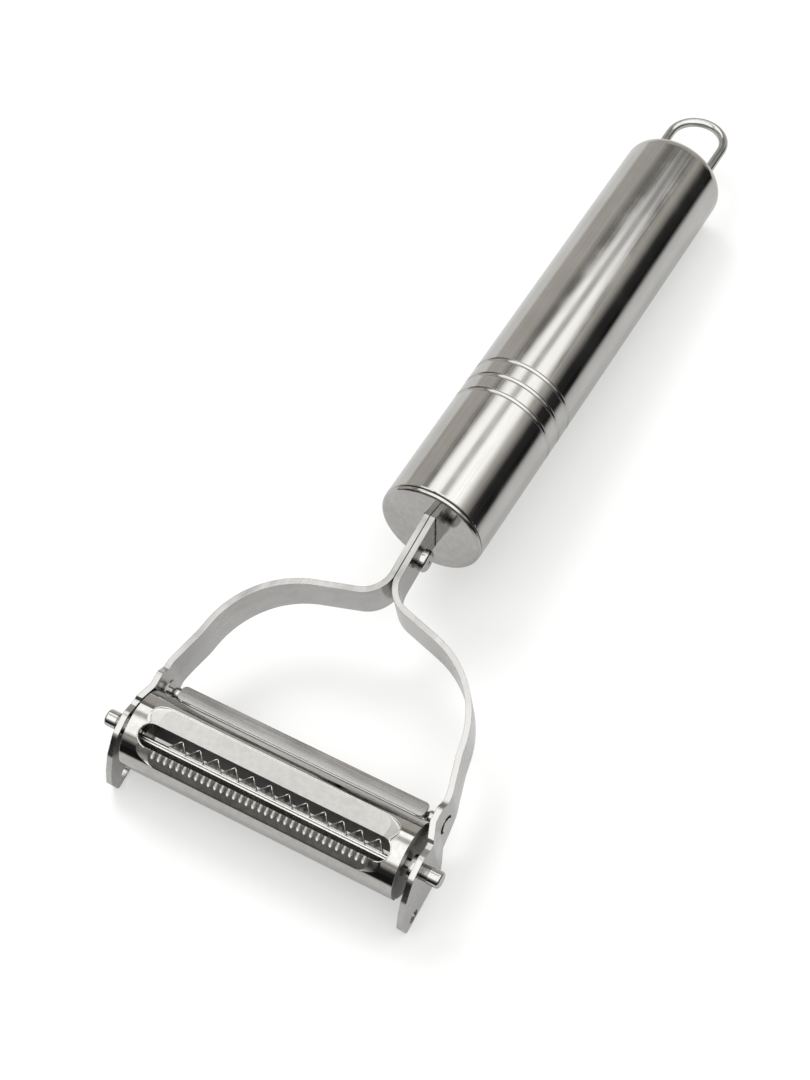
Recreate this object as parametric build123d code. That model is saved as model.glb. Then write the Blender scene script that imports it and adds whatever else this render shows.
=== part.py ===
from build123d import *
from math import acos, asin, atan2, cos, degrees, hypot, radians, sin
import os

os.makedirs("parts", exist_ok=True)

# A swivel peeler lying on a table: its two feet and the rear of its handle touch the table.
# All sizes are millimetres. X runs to the right, Y toward the hanging loop, Z up.

# Handle
handle_dia = 22.0
handle_len = 110.0
tube_wall = 1.0
rear_round = 2.8
mouth_round = 0.35
seam_gap = 0.35
cap_depth = 0.65
cap_shoulder = 0.8
cap_inset = 0.05
cap_wall = 0.8
cap_skirt_len = 7.0
groove_first_y = 28.7
groove_pitch = 4.3
groove_count = 3
groove_width = 1.1
groove_depth = 0.35

# Hanging loop
wire_dia = 2.0
loop_width = 14.0
loop_reach = 16.5
loop_height = 1.5
loop_tail = 4.0
tail_flat_dia = 3.0
tail_flat_len = 0.8

# Fork: two steel strips side by side, spread into a bow, widened into plates at the blade
fork_reach = 60.77
fork_dip = 12.0
strip_thick = 1.2
tang_width = 8.8
tab_reach = 4.2
tab_back = 2.6
tab_round = 1.5
joggle = 1.5
joggle_run = 4.0
joggle_round = 1.6
foot_round = 0.9
rivet_u = 6.3

# Path of a strip seen from above, as shares of the spread (x) and of the reach (u)
bow_path_shares = [(0.0, 0.287), (0.84, 0.406), (0.93, 0.655), (1.0, 0.78)]
# Bend radii at those corners, as shares of the reach
bow_round_shares = [0.105, 0.34, 0.32, 0.11]

# Middle of the outward step behind the blade axis, as a share of the shell's radius
joggle_share = -0.68

# Side outline of a strip's top and bottom edges up to the plate: shares of reach and tang width
strip_top_shares = [(0.22, 0.49), (0.5, 0.45), (0.74, 0.39)]
strip_bottom_shares = [(0.74, -0.69), (0.5, -0.645), (0.33, -0.57), (0.2, -0.51)]

# Plate outline about the blade axis, as shares of the shell's radius: forward, up, corner round
plate_top_shares = [
    (-1.5, 0.42, 0.15),
    (-1.3, 0.62, 0.12),
    (-0.54, 0.55, 0.03),
    (-0.45, 0.47, 0.03),
    (-0.3, 0.5, 0.1),
    (0.02, 0.64, 0.3),
    (0.55, 0.5, 0.4),
    (0.97, 0.05, 0.4),
    (1.22, -0.42, 0.2),
    (1.38, -0.88, 0.15),
]
foot_tip_share = (1.27, -1.43)
plate_bottom_shares = [
    (0.69, -1.41, 0.2),
    (0.0, -1.39, 0.4),
    (-0.65, -1.37, 0.4),
    (-1.3, -1.07, 0.4),
    (-1.75, -0.83, 0.3),
]

# Blade shell: a drum open toward the table, whose pins sit ahead of and above its arc's centre
shell_dia = 15.64
shell_len = 58.6
shell_thick = 0.6
shell_rear_deg = -168.0
shell_front_deg = 110.0
end_gap = 1.8
slot_margin = 2.6
slot_start_deg = 0.0
slot_end_deg = 37.0
slot_edge_drop = 0.52
top_panel_deg = -33.0
low_panel_deg = 61.0
top_panel_margin = 5.1
low_panel_margin = 5.7
panel_ramp = 2.5
panel_round = 2.0
flute_count = 34
flute_margin = 1.0
flute_radius = 0.62
flute_run = 1.6
flute_depth = 0.45

# Toothed blade inside the shell
inner_radius = 4.9
inner_thick = 0.6
inner_start_deg = 25.0
inner_end_deg = 115.0
inner_end_gap = 0.3
tooth_count = 12
tooth_margin = 3.1
tooth_row_share = 0.836
tooth_tip_radius = 6.3
tooth_tip_deg = 3.5
tooth_lean_share = 0.65
tooth_thick = 0.45
bead_radius = 0.28
bead_degs = [28.5, 34.0]
inner_ear_radius = 3.1

# Pins, washers and collars at the blade axis
pin_ahead = 1.0
pin_above = 0.7
pin_radius = 1.2
pin_head_radius = 1.7
pin_head_len = 2.5
pin_head_round = 0.55
pin_tail_radius = 2.0
pin_tail_len = 0.6
collar_radius = 1.55
collar_len = 1.35
washer_radius = 2.5
washer_thick = 1.2

# Rear bar and its pivots
bar_end_gap = 2.8
bar_thick = 0.7
bar_depth = 3.2
bar_crown = 0.05
bar_tilt = 20.0
bar_round = 0.9
bar_gap = 0.6
bar_rise = 2.7
bar_ear_radius = 1.5
pivot_back = 9.8
pivot_drop = 2.8
pivot_radius = 0.8
pivot_ball_radius = 1.35
pivot_flange_radius = 1.15
pivot_shank_radius = 1.5
pivot_hole_radius = 2.0
pivot_lip = 0.2
foot_hole_radius = 1.4
foot_hole_u = 6.8
foot_hole_w = -9.4

# Fork rivet
rivet_radius = 1.4
rivet_head_radius = 2.35
rivet_head_len = 1.5
rivet_dimple_radius = 0.35
rivet_dimple_depth = 0.3
rivet_tail_radius = 2.2
rivet_tail_len = 0.7
rivet_washer_radius = 2.0
rivet_washer_thick = 0.6

# Clearances
slide_fit = 0.05
slot_fit = 0.15
overrun = 2.0

# Derived sizes
handle_radius = handle_dia / 2
shell_radius = shell_dia / 2
shell_half = shell_len / 2
plate_inner_x = shell_half + end_gap
plate_outer_x = plate_inner_x + strip_thick
plate_mid_x = plate_inner_x + strip_thick / 2
rear_mid_x = plate_mid_x - joggle
rear_inner_x = rear_mid_x - strip_thick / 2
bar_half_len = rear_inner_x - bar_end_gap
slot_half_len = shell_half - slot_margin
top_panel_half = shell_half - top_panel_margin
low_panel_half = shell_half - low_panel_margin
flute_pitch = 2 * (low_panel_half - flute_margin) / (flute_count - 1)
tooth_last_x = slot_half_len - tooth_margin
tooth_pitch = 2 * slot_half_len * tooth_row_share / (tooth_count - 1 + tooth_lean_share)
tang_mid_x = strip_thick / 2
tang_half = tang_width / 2
pin_y = -fork_reach - pin_ahead
pin_z = pin_above



# Closed outline through corners, each rounded by its own radius
def rounded_outline(corners):
    edges = []
    arcs = []
    count = len(corners)
    for i in range(count):
        arcs.append(corner_arc(corners[i - 1], corners[i], corners[(i + 1) % count]))
    for i in range(count):
        start, middle, end = arcs[i][:3]
        if middle is not None:
            edges.append(ThreePointArc(start, middle, end))
        following = arcs[(i + 1) % count][0]
        if hypot(following[0] - end[0], following[1] - end[1]) > 1e-6:
            edges.append(Line(end, following))
    return Wire(edges)


# Where a corner's rounding starts, its middle, where it ends, and its centre
def corner_arc(before, corner, after):
    x, y, radius = corner
    back = (before[0] - x, before[1] - y)
    ahead = (after[0] - x, after[1] - y)
    back_len = hypot(*back)
    ahead_len = hypot(*ahead)
    back = (back[0] / back_len, back[1] / back_len)
    ahead = (ahead[0] / ahead_len, ahead[1] / ahead_len)
    half = acos(max(-1.0, min(1.0, back[0] * ahead[0] + back[1] * ahead[1]))) / 2
    if radius == 0 or cos(half) < 1e-6:
        return (x, y), None, (x, y), (x, y)
    cut = radius * cos(half) / sin(half)
    bisector = (back[0] + ahead[0], back[1] + ahead[1])
    length = hypot(*bisector)
    bisector = (bisector[0] / length, bisector[1] / length)
    centre = (x + bisector[0] * radius / sin(half), y + bisector[1] * radius / sin(half))
    start = (x + back[0] * cut, y + back[1] * cut)
    end = (x + ahead[0] * cut, y + ahead[1] * cut)
    middle = (centre[0] - bisector[0] * radius, centre[1] - bisector[1] * radius)
    return start, middle, end, centre


# A path with bends thickened to both sides, as an outline with true parallel bends
def ribbon_outline(path, thickness):
    half = thickness / 2
    sides = ([], [])
    count = len(path)
    for i in range(count):
        x, y, radius = path[i]
        before = path[i - 1] if i > 0 else None
        after = path[i + 1] if i < count - 1 else None
        into = direction(before, path[i]) if before else direction(path[i], after)
        out = direction(path[i], after) if after else into
        turn = into[0] * out[1] - into[1] * out[0]
        mitre = 1 + into[0] * out[0] + into[1] * out[1]
        for k, side in ((0, 1), (1, -1)):
            dx = -side * half * (into[1] + out[1]) / mitre
            dy = side * half * (into[0] + out[0]) / mitre
            bend = 0 if radius == 0 else radius - side * half * (1 if turn > 0 else -1)
            sides[k].append((x + dx, y + dy, bend))
    return rounded_outline(sides[0] + sides[1][::-1])


# Unit direction from one path corner to the next
def direction(start, end):
    dx = end[0] - start[0]
    dy = end[1] - start[1]
    length = hypot(dx, dy)
    return (dx / length, dy / length)


# Solid of revolution about an X axis through (y, z) from (x, radius) pairs
# A third value bulges the line from the pair before it out to that radius
def turned_x(profile, y, z):
    points = [(profile[0][0], 0)] + profile + [(profile[-1][0], 0)]
    edges = [Line(points[-1][:2], points[0][:2])]
    for start, end in zip(points, points[1:]):
        if len(end) > 2:
            crest = ((start[0] + end[0]) / 2, end[2])
            edges.append(ThreePointArc(start[:2], crest, end[:2]))
        else:
            edges.append(Line(start[:2], end[:2]))
    return Pos(0, y, z) * revolve(make_face(Wire(edges)), Axis.X, 360)


# Round bar along X between two stations
def rod_x(radius, start, end, y, z):
    return turned_x([(start, radius), (end, radius)], y, z)


# Edges of a solid that are circles at a given X station
def rim_edges(solid, station, radius):
    found = []
    for edge in solid.edges().filter_by(GeomType.CIRCLE):
        if abs(edge.arc_center.X - station) < 1e-4 and abs(edge.radius - radius) < 1e-4:
            found.append(edge)
    return found


# Drawn tube, closed and rounded at the rear, with rolled grooves
def make_handle_tube():
    radius = handle_radius
    inner = radius - tube_wall
    front = cap_depth + seam_gap
    edges = []
    start = (inner, front)
    outer = (radius, front + mouth_round)
    edges.append(Line(start, (radius - mouth_round, front)))
    edges.append(RadiusArc((radius - mouth_round, front), outer, -mouth_round))
    place = outer
    for i in range(groove_count):
        middle = groove_first_y + i * groove_pitch
        low = (radius, middle - groove_width / 2)
        high = (radius, middle + groove_width / 2)
        edges.append(Line(place, low))
        edges.append(ThreePointArc(low, (radius - groove_depth, middle), high))
        place = high
    edges.append(Line(place, (radius, handle_len - rear_round)))
    edges.append(
        RadiusArc((radius, handle_len - rear_round), (radius - rear_round, handle_len), -rear_round)
    )
    edges.append(Line((radius - rear_round, handle_len), (0, handle_len)))
    edges.append(Line((0, handle_len), (0, handle_len - tube_wall)))
    inner_round = rear_round - tube_wall
    edges.append(Line((0, handle_len - tube_wall), (inner - inner_round, handle_len - tube_wall)))
    corner = (inner, handle_len - rear_round)
    edges.append(RadiusArc((inner - inner_round, handle_len - tube_wall), corner, inner_round))
    place = corner
    for i in reversed(range(groove_count)):
        middle = groove_first_y + i * groove_pitch
        high = (inner, middle + groove_width / 2)
        low = (inner, middle - groove_width / 2)
        edges.append(Line(place, high))
        edges.append(ThreePointArc(high, (inner - groove_depth, middle), low))
        place = low
    edges.append(Line(place, start))
    tube = revolve(make_face(Wire(edges)), Axis.Y, 360)
    leg_x = (loop_width - wire_dia) / 2
    for side in (-1, 1):
        hole = Cylinder(wire_dia / 2 + slide_fit, tube_wall + 2 * overrun)
        tube = tube - Pos(side * leg_x, handle_len, loop_height) * Rot(90, 0, 0) * hole
    return tube


# Pressed cap with a polished face, rounded shoulder, rim and skirt, slotted for the strips
def make_front_cap():
    radius = handle_radius - cap_inset
    skirt = handle_radius - tube_wall - slide_fit
    face = radius - cap_shoulder
    end = cap_depth + cap_skirt_len
    inner = skirt - cap_wall
    edges = [
        Line((0, 0), (face, 0)),
        ThreePointArc(
            (face, 0),
            (face + cap_shoulder * sin(radians(45)), cap_depth * (1 - cos(radians(45)))),
            (radius, cap_depth),
        ),
        Line((radius, cap_depth), (skirt, cap_depth)),
        Line((skirt, cap_depth), (skirt, end)),
        Line((skirt, end), (inner, end)),
        Line((inner, end), (inner, cap_wall)),
        Line((inner, cap_wall), (0, cap_wall)),
        Line((0, cap_wall), (0, 0)),
    ]
    cap = revolve(make_face(Wire(edges)), Axis.Y, 360)
    slot = Box(2 * (strip_thick + slot_fit), 2 * (cap_wall + overrun), tang_width + 2 * slot_fit)
    return cap - Rot(fork_dip, 0, 0) * slot


# Bent wire loop: two legs through the tube's end wall, flattened inside
def make_hanging_loop():
    leg_x = (loop_width - wire_dia) / 2
    bend_y = handle_len + loop_reach - loop_width / 2
    start_y = handle_len - tube_wall - loop_tail
    path = Wire(
        [
            Line((-leg_x, start_y, loop_height), (-leg_x, bend_y, loop_height)),
            ThreePointArc(
                (-leg_x, bend_y, loop_height),
                (0, bend_y + leg_x, loop_height),
                (leg_x, bend_y, loop_height),
            ),
            Line((leg_x, bend_y, loop_height), (leg_x, start_y, loop_height)),
        ]
    )
    section = Plane(origin=(-leg_x, start_y, loop_height), z_dir=(0, 1, 0)) * Circle(wire_dia / 2)
    loop = sweep(section, path=path)
    for side in (-1, 1):
        upset = Cylinder(tail_flat_dia / 2, tail_flat_len)
        head_y = handle_len - tube_wall - tail_flat_len / 2
        loop = loop + Pos(side * leg_x, head_y, loop_height) * Rot(90, 0, 0) * upset
    return loop


# Corners of the strip's path seen from above: across x, forward u, bend radius
def strip_path():
    spread = rear_mid_x - tang_mid_x
    path = [(tab_reach, -tab_back, 0), (tang_mid_x, -tab_back, tab_round)]
    for (across, along), bend in zip(bow_path_shares, bow_round_shares):
        path.append((tang_mid_x + across * spread, along * fork_reach, bend * fork_reach))
    step = fork_reach + joggle_share * shell_radius
    path.append((rear_mid_x, step - joggle_run / 2, joggle_round))
    path.append((plate_mid_x, step + joggle_run / 2, joggle_round))
    path.append((plate_mid_x, fork_reach + 2 * shell_radius, 0))
    return path


# Corners of a strip's side outline: forward u, up w, corner radius
def strip_side():
    corners = [(-tab_back - strip_thick, tang_half, 0)]
    for along, up in strip_top_shares:
        corners.append((along * fork_reach, up * tang_width, fork_reach / 2))
    for ahead, up, bend in plate_top_shares:
        corners.append((fork_reach + ahead * shell_radius, up * shell_radius, bend * shell_radius))
    tip = len(corners)
    ahead, up = foot_tip_share
    corners.append((fork_reach + ahead * shell_radius, up * shell_radius, foot_round))
    for ahead, up, bend in plate_bottom_shares:
        corners.append((fork_reach + ahead * shell_radius, up * shell_radius, bend * shell_radius))
    for along, up in strip_bottom_shares:
        corners.append((along * fork_reach, up * tang_width, tang_width))
    corners.append((-tab_back - strip_thick, -tang_half, 0))
    return corners, tip


# One strip with its bow, plate, holes and foot, on the +X side, in the fork frame
def make_strip():
    path = [(x, -u, bend) for x, u, bend in strip_path()]
    ribbon = make_face(ribbon_outline(path, strip_thick))
    bent = extrude(ribbon, 2 * shell_radius, both=True)
    corners, tip = strip_side()
    side = make_face(rounded_outline([(-u, w, bend) for u, w, bend in corners]))
    side = Plane.YZ * side
    strip = bent & extrude(side, plate_outer_x + 2 * overrun)
    axis_y = -fork_reach
    far = plate_outer_x + 2 * overrun
    near = plate_inner_x - 2 * overrun
    strip = strip - rod_x(pin_radius + slide_fit, near, far, pin_y, pin_z)
    strip = strip - rod_x(pivot_hole_radius, near, far, axis_y + pivot_back, -pivot_drop)
    strip = strip - rod_x(foot_hole_radius, near, far, axis_y - foot_hole_u, foot_hole_w)
    strip = strip - rod_x(rivet_radius + slide_fit, -overrun, overrun + strip_thick, -rivet_u, 0)
    return strip


# Point on a circle about the shell's arc centre: angle from straight up toward the front
def around(radius, angle):
    turn = radians(angle)
    return (-fork_reach - radius * sin(turn), radius * cos(turn))


# Ring sector along X about the shell's arc centre between two radii and two angles
def sheet_sector(inner, outer, start, end, half_len):
    middle = (start + end) / 2
    edges = [
        ThreePointArc(around(outer, start), around(outer, middle), around(outer, end)),
        Line(around(outer, end), around(inner, end)),
        ThreePointArc(around(inner, end), around(inner, middle), around(inner, start)),
        Line(around(inner, start), around(outer, start)),
    ]
    face = Plane.YZ * make_face(Wire(edges))
    return Pos(-half_len, 0, 0) * extrude(face, 2 * half_len)


# Place a shape so that its Z axis points outward at an angle about the shell's arc centre
def outward(angle, shape):
    return Pos(0, -fork_reach, 0) * Rot(angle, 0, 0) * shape


# Tilt angle and distance of the flat pressed between a circle point and the slot's edge
def panel_plane(rim_angle, slot_angle):
    rim = (shell_radius * sin(radians(rim_angle)), shell_radius * cos(radians(rim_angle)))
    drop = shell_radius - slot_edge_drop
    lip = (drop * sin(radians(slot_angle)), drop * cos(radians(slot_angle)))
    run = (lip[0] - rim[0], lip[1] - rim[1])
    length = hypot(*run)
    normal = (-run[1] / length, run[0] / length)
    distance = rim[0] * normal[0] + rim[1] * normal[1]
    if distance < 0:
        normal = (-normal[0], -normal[1])
        distance = -distance
    return degrees(atan2(normal[0], normal[1])), distance


# Pressing tool: flat with ramps at both ends, outside the flat's plane
def panel_tool(angle, distance, half_len):
    chord = shell_radius * sin(acos(distance / shell_radius))
    low = Plane.XY.offset(distance) * RectangleRounded(2 * half_len, 2 * chord, panel_round)
    depth = shell_radius - distance
    wide = 2 * (half_len + panel_ramp)
    high_plane = Plane.XY.offset(distance + depth)
    high = high_plane * RectangleRounded(wide, 2 * chord, panel_round)
    ramp = loft([low, high])
    rest = extrude(high, overrun)
    return outward(angle, ramp + rest)


# End ear of the inner blade: a round tab about the pin joined to the wall
def blade_ear(outer_x, thickness, angle, reach):
    tab = Rot(0, 90, 0) * Cylinder(inner_ear_radius, thickness)
    stem = Pos(0, 0, reach / 2) * Box(thickness, 2 * inner_ear_radius, reach)
    ear = Pos(outer_x - thickness / 2, pin_y, pin_z) * Rot(angle, 0, 0) * (tab + stem)
    ear = ear & rod_x(reach, outer_x - overrun, outer_x + overrun, -fork_reach, 0)
    return ear - rod_x(pin_radius + slide_fit, outer_x - overrun, outer_x + overrun, pin_y, pin_z)


# End disc of the drum, bored for the pin
def end_disc(outer_x):
    disc = rod_x(shell_radius - shell_thick / 2, outer_x - shell_thick, outer_x, -fork_reach, 0)
    return disc - rod_x(pin_radius + slide_fit, outer_x - overrun, outer_x + overrun, pin_y, pin_z)


# Drum sheet with two pressed flats, the slot, the fluted lip and two end discs
def make_blade_shell():
    inside = shell_radius - shell_thick
    outer = sheet_sector(inside / 2, shell_radius, shell_rear_deg, shell_front_deg, shell_half)
    inner = sheet_sector(
        inside / 2 - shell_thick,
        inside,
        shell_rear_deg - shell_thick,
        shell_front_deg + shell_thick,
        shell_half + overrun,
    )
    for rim_angle, slot_angle, half_len in (
        (top_panel_deg, slot_start_deg, top_panel_half),
        (low_panel_deg, slot_end_deg, low_panel_half),
    ):
        angle, distance = panel_plane(rim_angle, slot_angle)
        outer = outer - panel_tool(angle, distance, half_len)
        inner = inner - panel_tool(angle, distance - shell_thick, half_len)
    sheet = outer - inner
    slot_middle = (slot_start_deg + slot_end_deg) / 2
    slot_half = (shell_radius - slot_edge_drop) * sin(radians(slot_end_deg - slot_middle))
    slot = Pos(0, 0, shell_radius / 2) * extrude(
        SlotOverall(2 * slot_half_len, 2 * slot_half), shell_radius
    )
    sheet = sheet - outward(slot_middle, slot)
    angle, distance = panel_plane(low_panel_deg, slot_end_deg)
    lip_y = (shell_radius - slot_edge_drop) * sin(radians(slot_end_deg - angle))
    lean = degrees(asin(flute_depth / flute_run))
    first = -flute_pitch * (flute_count - 1) / 2
    flutes = []
    for i in range(flute_count):
        tool = Pos(0, 0, flute_run) * Cylinder(flute_radius, 2 * flute_run + overrun)
        tool = Rot(90 - lean, 0, 0) * tool
        lift = distance + flute_radius - flute_depth
        flutes.append(outward(angle, Pos(first + i * flute_pitch, -lip_y, lift) * tool))
    sheet = sheet - flutes
    for outer_x in (shell_half, shell_thick - shell_half):
        sheet = sheet + end_disc(outer_x)
    return sheet


# Curved inner blade: a row of teeth along its upper edge and two end ears
def make_inner_blade():
    half_len = shell_half - shell_thick - inner_end_gap
    outer = inner_radius + inner_thick / 2
    inner = inner_radius - inner_thick / 2
    blade = sheet_sector(inner, outer, inner_start_deg, inner_end_deg, half_len)
    root = around(inner_radius, inner_start_deg)
    tip = around(tooth_tip_radius, tooth_tip_deg)
    rise = hypot(tip[0] - root[0], tip[1] - root[1])
    lean = degrees(atan2(tip[1] - root[1], tip[0] - root[0]))
    first = tooth_last_x - (tooth_count - 1 + tooth_lean_share) * tooth_pitch
    row = [(first, -inner_thick)]
    for i in range(tooth_count):
        left = first + i * tooth_pitch
        row.append((left, 0))
        row.append((left + tooth_lean_share * tooth_pitch, rise))
    row.append((first + tooth_count * tooth_pitch, 0))
    row.append((first + tooth_count * tooth_pitch, -inner_thick))
    teeth = extrude(make_face(Polyline(*row, close=True)), tooth_thick / 2, both=True)
    blade = blade + Pos(0, root[0], root[1]) * Rot(lean, 0, 0) * teeth
    for angle in bead_degs:
        blade = blade + rod_x(bead_radius, -half_len, half_len, *around(outer, angle))
    for side in (-1, 1):
        ear_x = half_len if side > 0 else inner_thick - half_len
        middle = (inner_start_deg + inner_end_deg) / 2
        blade = blade + blade_ear(ear_x, inner_thick, middle, inner_radius)
    return blade


# Headed pin on the +X side of the blade axis
def make_drum_pin():
    tail = shell_half - shell_thick - inner_end_gap - inner_thick - pin_tail_len - slot_fit
    neck = tail + pin_tail_len
    head = plate_outer_x + collar_len
    end = head + pin_head_len
    pin = turned_x(
        [
            (tail, pin_tail_radius),
            (neck, pin_tail_radius),
            (neck, pin_radius),
            (head, pin_radius),
            (head, pin_head_radius),
            (end, pin_head_radius),
        ],
        pin_y,
        pin_z,
    )
    return fillet(rim_edges(pin, end, pin_head_radius), pin_head_round)


# Flat ring around the pin between two stations
def make_ring(radius, hole, start, end, y, z):
    return rod_x(radius, start, end, y, z) - rod_x(hole, start - overrun, end + overrun, y, z)


# Narrow bar behind the shell, sloping down to the rear, with ears bent down to its pivots
def make_rear_bar():
    front_y = -fork_reach + shell_radius + bar_gap
    back_y = front_y + bar_depth
    top = bar_rise - pivot_drop
    low = top - bar_depth * sin(radians(bar_tilt)) / cos(radians(bar_tilt))
    middle = (front_y + back_y) / 2
    crest = (top + low) / 2 + bar_crown
    outline = Wire(
        [
            ThreePointArc((front_y, top), (middle, crest), (back_y, low)),
            Line((back_y, low), (back_y, low - bar_thick)),
            ThreePointArc(
                (back_y, low - bar_thick),
                (middle, crest - bar_thick),
                (front_y, top - bar_thick),
            ),
            Line((front_y, top - bar_thick), (front_y, top)),
        ]
    )
    bar = Pos(-bar_half_len, 0, 0) * extrude(Plane.YZ * make_face(outline), 2 * bar_half_len)
    plan = RectangleRounded(2 * bar_half_len, bar_depth, bar_round)
    plan = Pos(0, middle, -shell_radius) * plan
    bar = bar & extrude(plan, 2 * shell_radius)
    pivot_y = -fork_reach + pivot_back
    inset = bar_thick / 2
    stem_outline = Polyline(
        (front_y + inset, top - inset),
        (back_y - inset, low - inset),
        (back_y - inset, -pivot_drop),
        (front_y + inset, -pivot_drop),
        close=True,
    )
    stem_plate = extrude(Plane.YZ * make_face(stem_outline), bar_thick)
    for side in (-1, 1):
        outer_x = side * (bar_half_len - bar_round)
        start = outer_x - bar_thick * (side + 1) / 2
        ear = rod_x(bar_ear_radius, start, start + bar_thick, pivot_y, -pivot_drop)
        stem = Pos(start, 0, 0) * stem_plate
        hole = rod_x(
            pivot_radius + slide_fit, -bar_half_len, bar_half_len, pivot_y, -pivot_drop
        )
        bar = bar + (ear + stem - hole)
    return bar


# Domed pivot on the +X side: flange inside the ear, ball, shank through the plate's hole
def make_rear_pivot():
    pivot_y = -fork_reach + pivot_back
    ear_outer = bar_half_len - bar_round
    ear_inner = ear_outer - bar_thick
    seat = rear_inner_x
    end = rear_mid_x + strip_thick / 2 + pivot_lip
    flange = ear_inner - slot_fit
    ball_x = (ear_outer + slot_fit + seat - pivot_lip) / 2
    ball_half = (pivot_ball_radius**2 - pivot_radius**2) ** 0.5
    return turned_x(
        [
            (flange - pivot_lip, pivot_flange_radius),
            (flange, pivot_flange_radius),
            (flange, pivot_radius),
            (ball_x - ball_half, pivot_radius),
            (ball_x + ball_half, pivot_radius, pivot_ball_radius),
            (seat - pivot_lip, pivot_radius),
            (seat - pivot_lip, pivot_hole_radius + pivot_lip),
            (seat, pivot_hole_radius + pivot_lip),
            (seat, pivot_shank_radius),
            (end, pivot_shank_radius),
        ],
        pivot_y,
        -pivot_drop,
    )


# Rivet through both strips: domed head on the right, flattened tail on the left
def make_fork_rivet():
    head = strip_thick + rivet_washer_thick
    end = head + rivet_head_len
    tail = -strip_thick
    rivet = turned_x(
        [
            (tail - rivet_tail_len, rivet_tail_radius),
            (tail, rivet_tail_radius),
            (tail, rivet_radius),
            (head, rivet_radius),
            (head, rivet_head_radius),
            (end, rivet_head_radius),
        ],
        -rivet_u,
        0,
    )
    rivet = fillet(rim_edges(rivet, end, rivet_head_radius), rivet_head_len / 2)
    edge = rim_edges(rivet, tail - rivet_tail_len, rivet_tail_radius)
    rivet = fillet(edge, rivet_tail_len / 2)
    dimple = rod_x(rivet_dimple_radius, end - rivet_dimple_depth, end + overrun, -rivet_u, 0)
    return rivet - dimple


# Angle by which the whole peeler leans back so that feet and handle end both touch the table
def table_lean():
    corners, tip = strip_side()
    u, w = corner_arc(corners[tip - 1], corners[tip], corners[tip + 1])[3]
    dip = radians(fork_dip)
    foot_y = -u * cos(dip) - w * sin(dip)
    foot_z = -u * sin(dip) + w * cos(dip)
    rear_y = handle_len - rear_round
    rear_z = rear_round - handle_radius
    span = hypot(rear_y - foot_y, rear_z - foot_z)
    slope = atan2(rear_z - foot_z, rear_y - foot_y)
    return degrees(slope - asin((rear_round - foot_round) / span))


# All pieces: the handle group in the handle frame, the fork group in the fork frame
handle_group = {
    "handle_tube": make_handle_tube(),
    "front_cap": make_front_cap(),
    "hanging_loop": make_hanging_loop(),
}
strip = make_strip()
drum_pin = make_drum_pin()
drum_washer = make_ring(
    washer_radius, pin_radius + slide_fit, plate_inner_x - washer_thick, plate_inner_x, pin_y, pin_z
)
pin_collar = make_ring(
    collar_radius, pin_radius + slide_fit, plate_outer_x, plate_outer_x + collar_len, pin_y, pin_z
)
rear_pivot = make_rear_pivot()
fork_group = {
    "fork_rivet": make_fork_rivet(),
    "fork_rivet_washer": make_ring(
        rivet_washer_radius,
        rivet_radius + slide_fit,
        strip_thick,
        strip_thick + rivet_washer_thick,
        -rivet_u,
        0,
    ),
    "blade_shell": make_blade_shell(),
    "inner_blade": make_inner_blade(),
    "rear_bar": make_rear_bar(),
}
for name, piece in (
    ("arm", strip),
    ("drum_pin", drum_pin),
    ("drum_washer", drum_washer),
    ("pin_collar", pin_collar),
    ("rear_pivot", rear_pivot),
):
    fork_group[name + "_right"] = piece
    fork_group[name + "_left"] = mirror(piece, about=Plane.YZ)

lean = table_lean()
placed = {}
for name, piece in handle_group.items():
    placed[name] = Rot(-lean, 0, 0) * piece
for name, piece in fork_group.items():
    placed[name] = Rot(fork_dip - lean, 0, 0) * piece

# Origin at the middle of the bottom of the whole peeler's box
box = Compound(children=[Compound(list(piece.solids())) for piece in placed.values()]).bounding_box()
shift = Pos(-(box.min.X + box.max.X) / 2, -(box.min.Y + box.max.Y) / 2, -box.min.Z)
for name, piece in placed.items():
    export_step(shift * piece, "parts/" + name + ".step")
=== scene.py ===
import bpy
import numpy as np
from mathutils import Matrix, Vector


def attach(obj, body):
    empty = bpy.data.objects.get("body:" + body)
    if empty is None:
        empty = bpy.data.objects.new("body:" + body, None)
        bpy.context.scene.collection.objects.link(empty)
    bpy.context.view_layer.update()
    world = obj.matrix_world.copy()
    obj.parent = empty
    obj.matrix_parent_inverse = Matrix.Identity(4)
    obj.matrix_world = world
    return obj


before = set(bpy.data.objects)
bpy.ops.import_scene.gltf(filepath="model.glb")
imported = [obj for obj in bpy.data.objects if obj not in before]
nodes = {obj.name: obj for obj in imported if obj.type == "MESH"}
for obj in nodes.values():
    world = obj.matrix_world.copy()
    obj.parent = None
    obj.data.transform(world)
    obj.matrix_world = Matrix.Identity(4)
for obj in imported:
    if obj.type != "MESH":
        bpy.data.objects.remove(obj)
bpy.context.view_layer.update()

# Handle: drawn stainless tube, pressed shut at the rear and rolled with three grooves near the
# front. Its skin is satin, with fine lines that run the length of the tube.


def feed(net, socket, value):
    """Join a socket to another one, or set a plain value on it."""
    if isinstance(value, bpy.types.NodeSocket):
        net.links.new(value, socket)
    else:
        socket.default_value = value


def arithmetic(net, operation, first, second=0.0):
    """One step of arithmetic on two values."""
    node = net.nodes.new("ShaderNodeMath")
    node.operation = operation
    feed(net, node.inputs[0], first)
    feed(net, node.inputs[1], second)
    return node.outputs["Value"]


def ramp(net, value, low, high, to_low=0.0, to_high=1.0):
    """A value taken smoothly from one range to another and clamped to it."""
    node = net.nodes.new("ShaderNodeMapRange")
    node.interpolation_type = "SMOOTHSTEP"
    node.inputs["From Min"].default_value = low
    node.inputs["From Max"].default_value = high
    node.inputs["To Min"].default_value = to_low
    node.inputs["To Max"].default_value = to_high
    feed(net, node.inputs["Value"], value)
    return node.outputs["Result"]


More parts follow.
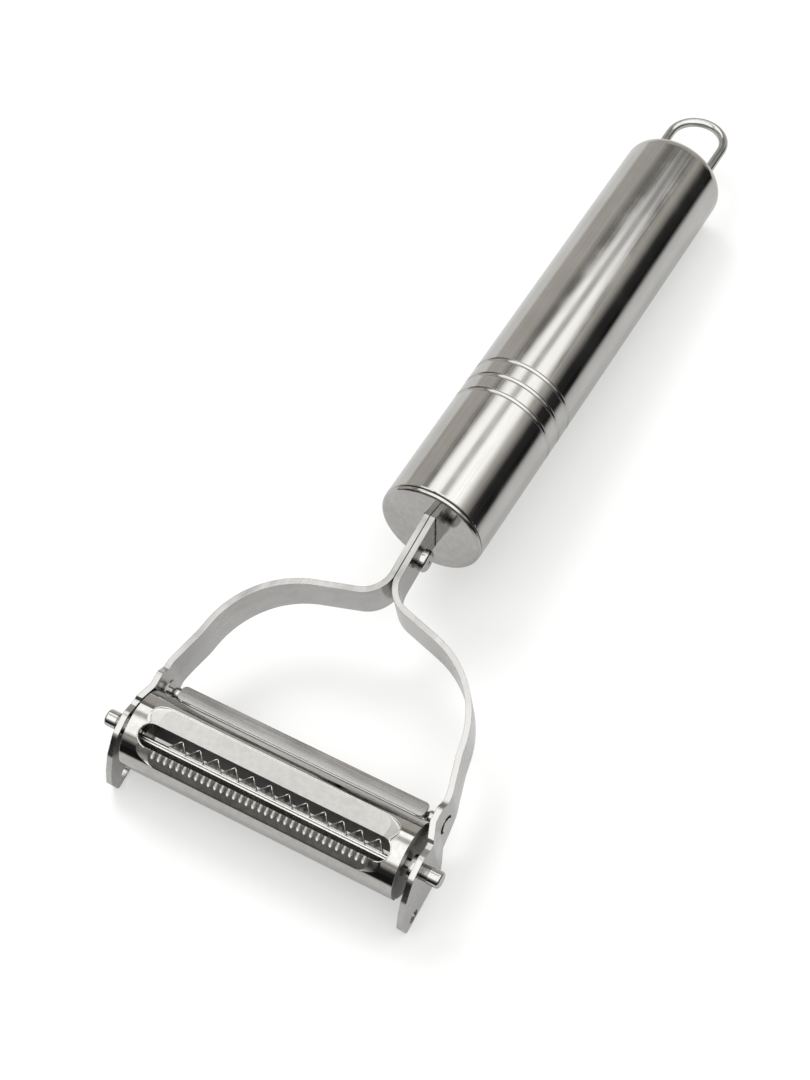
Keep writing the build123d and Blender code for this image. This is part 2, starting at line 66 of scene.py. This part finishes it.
def noise(net, vector, scale, detail, roughness):
    """A noise texture on a vector."""
    node = net.nodes.new("ShaderNodeTexNoise")
    node.inputs["Detail"].default_value = detail
    node.inputs["Roughness"].default_value = roughness
    feed(net, node.inputs["Scale"], scale)
    feed(net, node.inputs["Vector"], vector)
    return node


def vector_step(net, operation, *values):
    """One step of vector arithmetic."""
    node = net.nodes.new("ShaderNodeVectorMath")
    node.operation = operation
    for socket, value in zip(node.inputs, values):
        feed(net, socket, value)
    return node.outputs["Vector"]


def blend(net, factor, first, second, kind="MIX"):
    """Two colours mixed or multiplied by a factor."""
    node = net.nodes.new("ShaderNodeMix")
    node.data_type = "RGBA"
    node.blend_type = kind
    feed(net, node.inputs["Factor"], factor)
    feed(net, node.inputs["A"], first)
    feed(net, node.inputs["B"], second)
    return node.outputs["Result"]


def grey(net, value, tint=(1.0, 1.0, 1.0)):
    """A value as a colour, each channel times its share of the tint."""
    node = net.nodes.new("ShaderNodeCombineColor")
    for channel, share in zip(("Red", "Green", "Blue"), tint):
        feed(net, node.inputs[channel], arithmetic(net, "MULTIPLY", value, share))
    return node.outputs["Color"]


def split(net, vector):
    """The three parts of a vector."""
    node = net.nodes.new("ShaderNodeSeparateXYZ")
    feed(net, node.inputs["Vector"], vector)
    return node.outputs["X"], node.outputs["Y"], node.outputs["Z"]


def own_place(net):
    """The place of a point on the piece, in metres."""
    return net.nodes.new("ShaderNodeTexCoord").outputs["Object"]


# Steel skin: rolling lines along one axis, faint clouds, and rare fine scratches in patches
skin = bpy.data.node_groups.new("steel_skin", "ShaderNodeTree")
for name, kind, value in (
    ("Vector", "NodeSocketVector", None),
    ("Line Scale", "NodeSocketVector", (4000.0, 60.0, 4000.0)),
    ("Cloud Scale", "NodeSocketFloat", 120.0),
    ("Scratch", "NodeSocketFloat", 0.3),
):
    socket = skin.interface.new_socket(name, in_out="INPUT", socket_type=kind)
    if value is not None:
        socket.default_value = value
for name in ("Bright", "Rough", "Height"):
    skin.interface.new_socket(name, in_out="OUTPUT", socket_type="NodeSocketFloat")
given = skin.nodes.new("NodeGroupInput").outputs
result = skin.nodes.new("NodeGroupOutput").inputs

line_contrast = 0.12
scratch_contrast = 0.12
scratch_cells = 260.0
scratch_width = 0.012
scratch_wander = (0.006, 0.006, 0.006)
middle_of_noise = (0.3, 0.7)
scratched_patches = (0.5, 0.62)

line_place = vector_step(skin, "MULTIPLY", given["Vector"], given["Line Scale"])
lines = noise(skin, line_place, scale=1.0, detail=3.0, roughness=0.6).outputs["Fac"]
line_tone = ramp(skin, lines, *middle_of_noise, -0.5, 0.5)
cloud = noise(skin, given["Vector"], given["Cloud Scale"], detail=4.0, roughness=0.5).outputs
cells = skin.nodes.new("ShaderNodeTexVoronoi")
cells.feature = "DISTANCE_TO_EDGE"
cells.inputs["Scale"].default_value = scratch_cells
wandered = vector_step(skin, "MULTIPLY_ADD", cloud["Color"], scratch_wander, given["Vector"])
skin.links.new(wandered, cells.inputs["Vector"])
scratch = ramp(skin, cells.outputs["Distance"], 0.0, scratch_width, 1.0, 0.0)
scratch = arithmetic(skin, "MULTIPLY", scratch, ramp(skin, cloud["Fac"], *scratched_patches))
scratch = arithmetic(skin, "MULTIPLY", scratch, given["Scratch"])
bright = arithmetic(skin, "MULTIPLY", line_tone, line_contrast)
bright = arithmetic(skin, "ADD", bright, ramp(skin, cloud["Fac"], *middle_of_noise, 0.95, 1.04))
bright = arithmetic(skin, "SUBTRACT", bright, arithmetic(skin, "MULTIPLY", scratch, scratch_contrast))
rough = arithmetic(skin, "ADD", line_tone, ramp(skin, cloud["Fac"], *middle_of_noise, -0.5, 0.5))
skin.links.new(bright, result["Bright"])
skin.links.new(arithmetic(skin, "ADD", rough, scratch), result["Rough"])
skin.links.new(arithmetic(skin, "SUBTRACT", lines, scratch), result["Height"])

line_height = 0.00002
edge_samples = 4


def steel(name, colour, roughness, spread, lines, bump, edge=0.00012, lean=0.0):
    """Bare metal whose tone, roughness and height follow the steel skin.

    The roughness is the given one plus the skin's offset times the spread. The lean turns the
    lines about the X axis, in degrees, so that they run along the piece.
    """
    material = bpy.data.materials.new(name)
    material.use_nodes = True
    net = material.node_tree
    shader = net.nodes["Principled BSDF"].inputs
    shader["Metallic"].default_value = 1.0
    turned = net.nodes.new("ShaderNodeMapping")
    turned.inputs["Rotation"].default_value = (np.radians(lean), 0.0, 0.0)
    net.links.new(own_place(net), turned.inputs["Vector"])
    surface = net.nodes.new("ShaderNodeGroup")
    surface.node_tree = skin
    surface.inputs["Line Scale"].default_value = lines
    net.links.new(turned.outputs["Vector"], surface.inputs["Vector"])
    tone = blend(net, 1.0, (*colour, 1.0), grey(net, surface.outputs["Bright"]), "MULTIPLY")
    net.links.new(tone, shader["Base Color"])
    offset = arithmetic(net, "MULTIPLY", surface.outputs["Rough"], spread)
    net.links.new(arithmetic(net, "ADD", offset, roughness), shader["Roughness"])
    soft_edge = net.nodes.new("ShaderNodeBevel")
    soft_edge.samples = edge_samples
    soft_edge.inputs["Radius"].default_value = edge
    relief = net.nodes.new("ShaderNodeBump")
    relief.inputs["Strength"].default_value = bump
    relief.inputs["Distance"].default_value = line_height
    net.links.new(surface.outputs["Height"], relief.inputs["Height"])
    net.links.new(soft_edge.outputs["Normal"], relief.inputs["Normal"])
    net.links.new(relief.outputs["Normal"], shader["Normal"])
    return material


def dress(material, *names):
    """Give the named nodes one material each."""
    for name in names:
        mesh = nodes[name].data
        mesh.materials.clear()
        mesh.materials.append(material)


handle_lean = 4.77
handle_lines = (5200.0, 30.0, 5200.0)
handle_satin = steel(
    "handle_satin", (0.48, 0.475, 0.46), roughness=0.12, spread=0.06, lines=handle_lines, bump=0.1, lean=handle_lean
)
dress(handle_satin, "handle_tube")

# Front cap: pressed from thin sheet, polished, and pushed into the tube's mouth. Its grain has
# no direction.
cap_grain = (900.0, 900.0, 900.0)
cap_polish = steel("cap_polish", (0.47, 0.465, 0.45), roughness=0.08, spread=0.05, lines=cap_grain, bump=0.1)
dress(cap_polish, "front_cap")

# Hanging loop: drawn steel wire, bent round and passed through the rear wall, with its tails
# flattened inside the tube. Short die marks run along the legs.
wire_lines = (3000.0, 300.0, 3000.0)
wire_polish = steel("wire_polish", (0.48, 0.48, 0.47), roughness=0.1, spread=0.06, lines=wire_lines, bump=0.2)
dress(wire_polish, "hanging_loop")

# Fork strips: two blanked steel strips bent to a bow, satin on the faces and softly broken on
# the sheared edges. Where they lie against each other a dark line of painted shade runs between them.
fork_lean = -7.23
strip_lines = (400.0, 90.0, 400.0)
strip_edge = 0.0002
strip_satin = steel(
    "strip_satin",
    (0.48, 0.475, 0.465),
    roughness=0.22,
    spread=0.12,
    lines=strip_lines,
    bump=0.35,
    edge=strip_edge,
    lean=fork_lean,
)
# Painted shade: the strips' colour turns near black within a fraction of a millimetre of their middle, where they
# meet.
shade_line_half_width = (0.00005, 0.00016)
painted_seam_shade = (0.03, 0.03, 0.03, 1.0)
net = strip_satin.node_tree
tone = net.nodes["Principled BSDF"].inputs["Base Color"]
from_middle = arithmetic(net, "ABSOLUTE", split(net, own_place(net))[0])
seam_shade_mask = ramp(net, from_middle, *shade_line_half_width, 1.0, 0.0)
net.links.new(blend(net, seam_shade_mask, tone.links[0].from_socket, painted_seam_shade), tone)
dress(strip_satin, "arm_left", "arm_right")

# Rivet, pins, inner washers and pivots: turned from steel bar and polished. The washer under
# the rivet's head and the collars on the pins are darker, oiled steel.
turned_grain = (2500.0, 2500.0, 2500.0)
washer_grain = (1500.0, 1500.0, 1500.0)
turned_polish = steel(
    "turned_polish", (0.48, 0.475, 0.465), roughness=0.08, spread=0.05, lines=turned_grain, bump=0.1
)
washer_oiled = steel("washer_oiled", (0.28, 0.27, 0.26), roughness=0.22, spread=0.1, lines=washer_grain, bump=0.2)
for side in ("left", "right"):
    dress(turned_polish, "drum_pin_" + side, "drum_washer_" + side, "rear_pivot_" + side)
    dress(washer_oiled, "pin_collar_" + side)
dress(turned_polish, "fork_rivet")
dress(washer_oiled, "fork_rivet_washer")

# Drum: steel sheet rolled round, slotted, pressed with two flats and fluted along the lower
# lip. Its round is polished and the pressed parts keep a dull grain. Its inside and its flutes are painted darker
# as painted shade.
drum_axis = (-0.08834, 0.01223)
drum_radius = 0.00782
drum_grain = (900.0, 900.0, 900.0)
# Painted shade colours for the drum's inside and its flutes.
inner_painted_shade = (0.2, 0.19, 0.18, 1.0)
inner_roughness = 0.45
flute_painted_shade = (0.27, 0.265, 0.255, 1.0)
upper_flat_from = (0.0045, 0.0055)
dull_below_and_above = (0.16, 0.3)
flat_depth = (0.00016, 0.00006)
flute_depth = (0.0007, 0.0005)
faces_inward = (-0.004, -0.002)

drum_polish = steel("drum_polish", (0.47, 0.465, 0.45), roughness=0.06, spread=0.04, lines=drum_grain, bump=0.12)
net = drum_polish.node_tree
shader = net.nodes["Principled BSDF"].inputs
own = net.nodes.new("ShaderNodeTexCoord").outputs
place = split(net, own["Object"])
facing = split(net, own["Normal"])
behind = arithmetic(net, "SUBTRACT", place[1], drum_axis[0])
above = arithmetic(net, "SUBTRACT", place[2], drum_axis[1])
squares = [arithmetic(net, "MULTIPLY", part, part) for part in (behind, above)]
distance = arithmetic(net, "POWER", arithmetic(net, "ADD", *squares), 0.5)
flat = ramp(net, distance, *(drum_radius - depth for depth in flat_depth), 1.0, 0.0)
flat = arithmetic(net, "MULTIPLY", flat, ramp(net, above, *upper_flat_from, *dull_below_and_above))
toward_axis = [arithmetic(net, "MULTIPLY", *pair) for pair in ((behind, facing[1]), (above, facing[2]))]
inside = ramp(net, arithmetic(net, "ADD", *toward_axis), *faces_inward, 1.0, 0.0)
duller = arithmetic(net, "MAXIMUM", flat, arithmetic(net, "MULTIPLY", inside, inner_roughness))
duller = arithmetic(net, "ADD", shader["Roughness"].links[0].from_socket, duller)
net.links.new(duller, shader["Roughness"])
# Painted shade: the flutes below the upper flat take a darker grey.
flute = ramp(net, distance, *(drum_radius - depth for depth in flute_depth), 1.0, 0.0)
flute = arithmetic(net, "MULTIPLY", flute, ramp(net, above, *upper_flat_from, 1.0, 0.0))
# Painted shade: faces turned toward the drum's axis take a dark colour.
tone = blend(net, inside, shader["Base Color"].links[0].from_socket, inner_painted_shade)
net.links.new(blend(net, flute, tone, flute_painted_shade), shader["Base Color"])
dress(drum_polish, "blade_shell")

# Toothed blade: hardened sheet curved inside the drum, its teeth ground and left dull, with
# two beads rolled along the foot of the teeth.
tooth_grain = (1200.0, 1200.0, 1200.0)
tooth_polish = steel("tooth_polish", (0.62, 0.61, 0.59), roughness=0.26, spread=0.08, lines=tooth_grain, bump=0.25)
dress(tooth_polish, "inner_blade")

# Raised rims: the press leaves a thin ridge round the drum's upper flat and the slot's ends, and
# the shears leave one on both edges of every tooth. Their steel is painted lighter than the rest, a painted
# highlight.
rim_radius = 0.00012
burr_radius = 0.00009
ring = 8


def on_drum(across, angle, radius):
    """Points about the drum's axis at an angle from its top toward the front.

    Each lies the radius times the sine of the turn ahead of the axis and the radius times its
    cosine above it, where the turn is the angle and the fork's slope together.
    """
    turn = np.radians(angle - fork_lean)
    ahead = np.broadcast_to(drum_axis[0] - radius * np.sin(turn), np.shape(across))
    up = np.broadcast_to(drum_axis[1] + radius * np.cos(turn), np.shape(across))
    return np.stack((across, ahead, up), axis=-1)


def ridge(points, radius):
    """A round ridge along a path: its points and its faces.

    At each point of the path stands a circle, the radius times the cosine of the turn away from
    the drum's axis and the radius times its sine sideways, both square to the path.
    """
    ahead = np.gradient(points, axis=0)
    ahead /= np.linalg.norm(ahead, axis=1)[:, None]
    outward = (points - np.array((0.0, *drum_axis))) * (0.0, 1.0, 1.0)
    outward -= ahead * np.sum(ahead * outward, axis=1)[:, None]
    outward /= np.linalg.norm(outward, axis=1)[:, None]
    turns = np.linspace(0.0, 2.0 * np.pi, ring, endpoint=False)[None, :, None]
    circle = np.cos(turns) * outward[:, None] + np.sin(turns) * np.cross(ahead, outward)[:, None]
    corners = (points[:, None] + radius * circle).reshape(-1, 3)
    steps = np.arange(ring)
    rows = ring * np.arange(len(points) - 1)[:, None]
    near = rows + steps
    after = rows + (steps + 1) % ring
    sides = np.stack((near, after, after + ring, near + ring), axis=-1).reshape(-1, 4)
    ends = [steps[::-1], steps + len(corners) - ring]
    return corners, [*sides, *ends]


def ridges(name, paths, radius, material):
    """Ridges along several open paths, as one piece."""
    corners, faces = [], []
    for path in paths:
        more_corners, more_faces = ridge(path, radius)
        faces += [(face + sum(map(len, corners))).tolist() for face in more_faces]
        corners.append(more_corners)
    mesh = bpy.data.meshes.new(name)
    mesh.from_pydata(np.concatenate(corners).tolist(), [], faces)
    mesh.materials.append(material)
    mesh.shade_smooth()
    piece = bpy.data.objects.new(name, mesh)
    bpy.context.scene.collection.objects.link(piece)
    return piece


rim_grain = (2500.0, 2500.0, 2500.0)
# Painted highlight: the ridges' steel is lighter than the drum's and the blade's.
rim_highlight_polish = steel("rim_highlight_polish", (0.72, 0.71, 0.69), roughness=0.18, spread=0.06, lines=rim_grain, bump=0.1)

slot_end = 0.02438
slot_round = 0.00247
slot_middle = 18.5
flat_rear = -33.0
straight_run = np.linspace(0.0, 0.0228, 7)
rim_bend = (
    (0.0244, -31.5), (0.0256, -27.5), (0.0263, -21.0), (0.0264, -13.0), (0.0260, -6.0), (0.0256, -1.0)
)
slot_turns = np.radians(np.linspace(-58.0, 90.0, 16))
slot_angles = slot_middle + np.degrees(slot_round * np.sin(slot_turns) / drum_radius)
half_rim = np.vstack(
    (
        np.column_stack((straight_run, np.full(straight_run.shape, flat_rear))),
        rim_bend,
        np.column_stack((slot_end + slot_round * np.cos(slot_turns), slot_angles)),
    )
)
rim = np.vstack((half_rim[:0:-1] * (-1.0, 1.0), half_rim))
press_rim = ridges("press_rim", [on_drum(rim[:, 0], rim[:, 1], drum_radius)], rim_radius, rim_highlight_polish)
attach(press_rim, "swivel_shell")

tooth_count = 12
tooth_pitch = 0.003832
first_tooth = -0.02104
apex_share = 0.65
apex_angle = 3.5
apex_radius = 0.00632
foot_angle = 25.0
foot_radius = 0.00515
burr_shares = np.linspace(0.03, 0.94, 4)
tooth_left = first_tooth + tooth_pitch * np.arange(tooth_count)
apexes = on_drum(tooth_left + apex_share * tooth_pitch, apex_angle, apex_radius)
feet = [on_drum(tooth_left + offset, foot_angle, foot_radius) for offset in (0.0, tooth_pitch)]
burrs = [
    apex + burr_shares[:, None] * (foot - apex)
    for apex, *both in zip(apexes, *feet)
    for foot in both
]
tooth_edges = ridges("tooth_edges", burrs, burr_radius, rim_highlight_polish)
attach(tooth_edges, "toothed_blade")

# Rear bar: a narrow strip of satin steel behind the drum, rolled across its width, with its
# ends bent down onto the pivots.
bar_lines = (60.0, 2500.0, 2500.0)
bar_satin = steel(
    "bar_satin", (0.5, 0.495, 0.485), roughness=0.28, spread=0.06, lines=bar_lines, bump=0.1, lean=fork_lean
)
dress(bar_satin, "rear_bar")

# Table: a plain white top that fades into a white background and keeps the peeler's shadow.
# In front and to the right of the peeler it is painted dark for reflected rays only, a painted dark reflection in
# the steel.
table_reach = 3.0
table_corners = [
    (x * table_reach, y * table_reach, 0.0) for x, y in ((-1.0, -1.0), (1.0, -1.0), (1.0, 1.0), (-1.0, 1.0))
]
table_tone = (0.45, 0.45, 0.45, 1.0)
dark_reflection_tone = (0.01, 0.01, 0.01, 1.0)
white = (1.0, 1.0, 1.0, 1.0)
front_dark_reflection_edge = (-0.136, -0.119)
right_dark_reflection_edge = (0.04, 0.13)
seen_glow = 0.42
mirrored_glow = 0.2

table_mesh = bpy.data.meshes.new("floor")
table_mesh.from_pydata(table_corners, [], [(0, 1, 2, 3)])
table = bpy.data.objects.new("floor", table_mesh)
bpy.context.scene.collection.objects.link(table)
table_white = bpy.data.materials.new("floor_white")
table_white.use_nodes = True
net = table_white.node_tree
shader = net.nodes["Principled BSDF"].inputs
shader["Roughness"].default_value = 0.9
shader["Specular IOR Level"].default_value = 0.0
shader["Emission Color"].default_value = white
ray = net.nodes.new("ShaderNodeLightPath").outputs
east, north, _ = split(net, own_place(net))
# Painted reflection: for glossy rays the table turns near black in front of and to the right of the peeler.
front_dark_reflection = ramp(net, north, *front_dark_reflection_edge, 1.0, 0.0)
dark_reflection_mask = arithmetic(net, "MAXIMUM", front_dark_reflection, ramp(net, east, *right_dark_reflection_edge))
dark_reflection_mask = arithmetic(net, "MULTIPLY", dark_reflection_mask, ray["Is Glossy Ray"])
net.links.new(blend(net, dark_reflection_mask, table_tone, dark_reflection_tone), shader["Base Color"])
direct = arithmetic(net, "MAXIMUM", ray["Is Camera Ray"], ray["Is Transmission Ray"])
mirrored = arithmetic(net, "SUBTRACT", ray["Is Glossy Ray"], dark_reflection_mask)
glow = arithmetic(net, "MULTIPLY", direct, seen_glow)
glow = arithmetic(net, "ADD", glow, arithmetic(net, "MULTIPLY", mirrored, mirrored_glow))
net.links.new(glow, shader["Emission Strength"])
table_mesh.materials.append(table_white)

# Room: a bright panel overhead crossed by one darker bar, warm grey walls behind and to the
# left, dark ones in front and to the right. East and north of a direction over its height give
# the place on the ceiling.
lowest = 0.02
panel_west = (-1.15, -0.85)
panel_east = (0.6, 1.5)
panel_south = (-1.5, -0.95)
panel_north = (0.95, 1.06)
panel_slant = -0.15
panel_light = (2.0, 2.0, 1.98)
bar_heading = (0.809, -0.588)
bar_offset = 0.44
bar_half_width = (0.03, 0.17)
bar_shade = 0.4
dark_heading = (0.8, -0.9)
dark_edge = (-0.45, -0.1)
dark_top = (0.2, 0.5)
above_walls = (0.46, 0.62)
above_walls_shade = 0.6
wall_warm = (0.64, 0.61, 0.57, 1.0)
wall_dark = (0.03, 0.03, 0.03, 1.0)


def heading(net, first, second, shares):
    """The first value times its share plus the second value times its own."""
    one, two = (arithmetic(net, "MULTIPLY", *pair) for pair in zip((first, second), shares))
    return arithmetic(net, "ADD", one, two)


world = bpy.data.worlds.new("room")
bpy.context.scene.world = world
world.use_nodes = True
net = world.node_tree
east, north, height = split(net, net.nodes.new("ShaderNodeTexCoord").outputs["Generated"])
ceiling = arithmetic(net, "MAXIMUM", height, lowest)
across = arithmetic(net, "DIVIDE", east, ceiling)
along = arithmetic(net, "DIVIDE", north, ceiling)
panel = arithmetic(net, "MULTIPLY", ramp(net, across, *panel_west), ramp(net, across, *panel_east, 1.0, 0.0))
panel = arithmetic(net, "MULTIPLY", panel, ramp(net, along, *panel_south))
slanted = heading(net, along, across, (1.0, panel_slant))
panel = arithmetic(net, "MULTIPLY", panel, ramp(net, slanted, *panel_north, 1.0, 0.0))
from_bar = arithmetic(net, "ADD", heading(net, across, along, bar_heading), bar_offset)
bar = ramp(net, arithmetic(net, "ABSOLUTE", from_bar), *bar_half_width, bar_shade, 1.0)
dark_side = ramp(net, heading(net, east, north, dark_heading), *dark_edge)
dark_side = arithmetic(net, "MULTIPLY", dark_side, ramp(net, height, *dark_top, 1.0, 0.0))
gap = arithmetic(net, "MULTIPLY", ramp(net, height, *above_walls), above_walls_shade)
walls = blend(net, arithmetic(net, "MAXIMUM", dark_side, gap), wall_warm, wall_dark)
room = blend(net, panel, walls, grey(net, bar, panel_light))
camera_ray = net.nodes.new("ShaderNodeLightPath").outputs["Is Camera Ray"]
net.links.new(blend(net, camera_ray, room, white), net.nodes["Background"].inputs["Color"])

# Lamp: one soft round lamp up and to the left of the peeler, aimed at the middle of the table.
# It lays the shadow to the right.
lamp_place = Vector((-0.55, 0.35, 0.9))
lamp_data = bpy.data.lights.new("soft_lamp", "AREA")
lamp_data.shape = "DISK"
lamp_data.size = 0.5
lamp_data.energy = 5.0
lamp = bpy.data.objects.new("soft_lamp", lamp_data)
bpy.context.scene.collection.objects.link(lamp)
lamp_turn = (-lamp_place).to_track_quat("-Z", "Y").to_matrix().to_4x4()
lamp.matrix_world = Matrix.Translation(lamp_place) @ lamp_turn
lamp.visible_glossy = False

# Camera: high in front of the peeler and a little to its right, with a long lens.
camera_place = (0.1400, -0.2536, 0.4356)
camera_right = (0.8721, 0.4877, -0.0407)
camera_up = (-0.3937, 0.7485, 0.5337)
camera_back = (0.2908, -0.4495, 0.8447)
camera_data = bpy.data.cameras.new("camera")
camera_data.sensor_fit = "HORIZONTAL"
camera_data.sensor_width = 36.0
camera_data.lens = 113.0
camera = bpy.data.objects.new("camera", camera_data)
bpy.context.scene.collection.objects.link(camera)
camera_turn = Matrix((camera_right, camera_up, camera_back)).transposed().to_4x4()
camera.matrix_world = Matrix.Translation(camera_place) @ camera_turn
bpy.context.scene.camera = camera
bpy.context.scene.view_settings.view_transform = "Standard"
